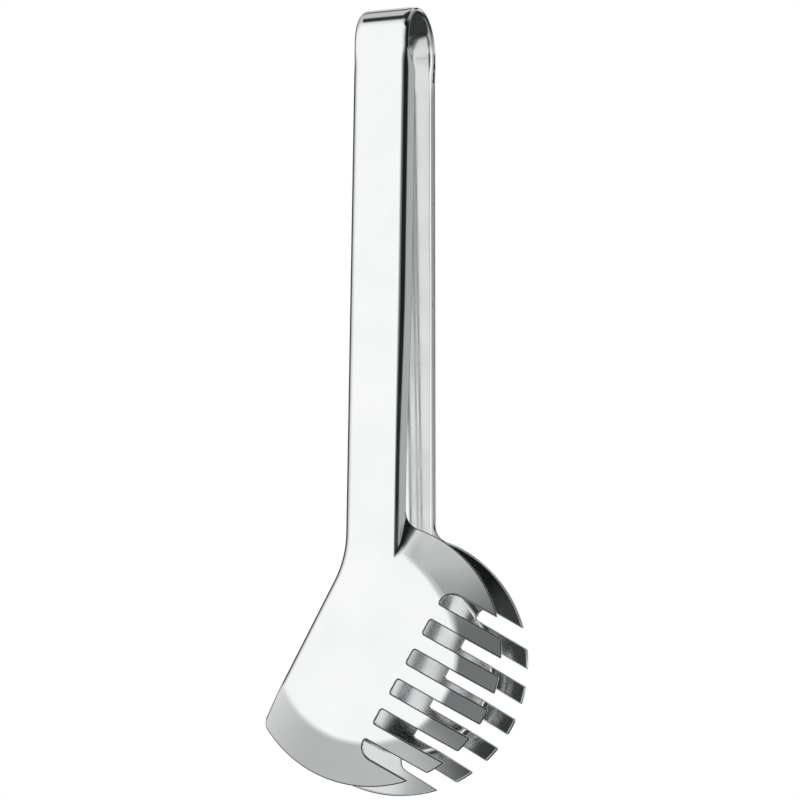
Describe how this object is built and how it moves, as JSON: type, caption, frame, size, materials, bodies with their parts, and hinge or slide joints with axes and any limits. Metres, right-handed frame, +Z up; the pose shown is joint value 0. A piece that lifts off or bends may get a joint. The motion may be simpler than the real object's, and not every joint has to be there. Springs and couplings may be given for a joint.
{
  "type": "pasta tongs",
  "caption": "Stainless steel spring tongs folded from one sheet, with channel handles and tilted, dished, slotted claw heads for lifting spaghetti.",
  "frame": {"origin": "middle of the underside of the spring bow, where a rail or a hook carries the hanging tongs", "axes": "+Z up as the tongs hang, from the claw heads to the bow; +X to the side that the prongs point to; +Y from the front arm to the back arm"},
  "size_m": [0.0841, 0.0392, 0.2718],
  "materials": {
    "polished_steel": "mirror-polished stainless steel sheet"
  },
  "bodies": {
    "bow": {"spring_bow": "polished_steel"},
    "front_arm": {"front_handle": "polished_steel", "front_head": "polished_steel"},
    "back_arm": {"back_handle": "polished_steel", "back_head": "polished_steel"}
  },
  "joints": [
    {"name": "front_arm_flex", "type": "hinge", "parent": "bow", "child": "front_arm", "pos_m": [0, -0.00892, -0.00458], "axis": [1, 0, 0], "range_deg": [-1, 2.9], "stiffness_Nm_per_rad": 15},
    {"name": "back_arm_flex", "type": "hinge", "parent": "bow", "child": "back_arm", "pos_m": [0, 0.00892, -0.00458], "axis": [1, 0, 0], "range_deg": [-2.9, 1], "stiffness_Nm_per_rad": 15}
  ],
  "couplings": [
    {"joint": "back_arm_flex", "follows": "front_arm_flex", "ratio": -1}
  ]
}
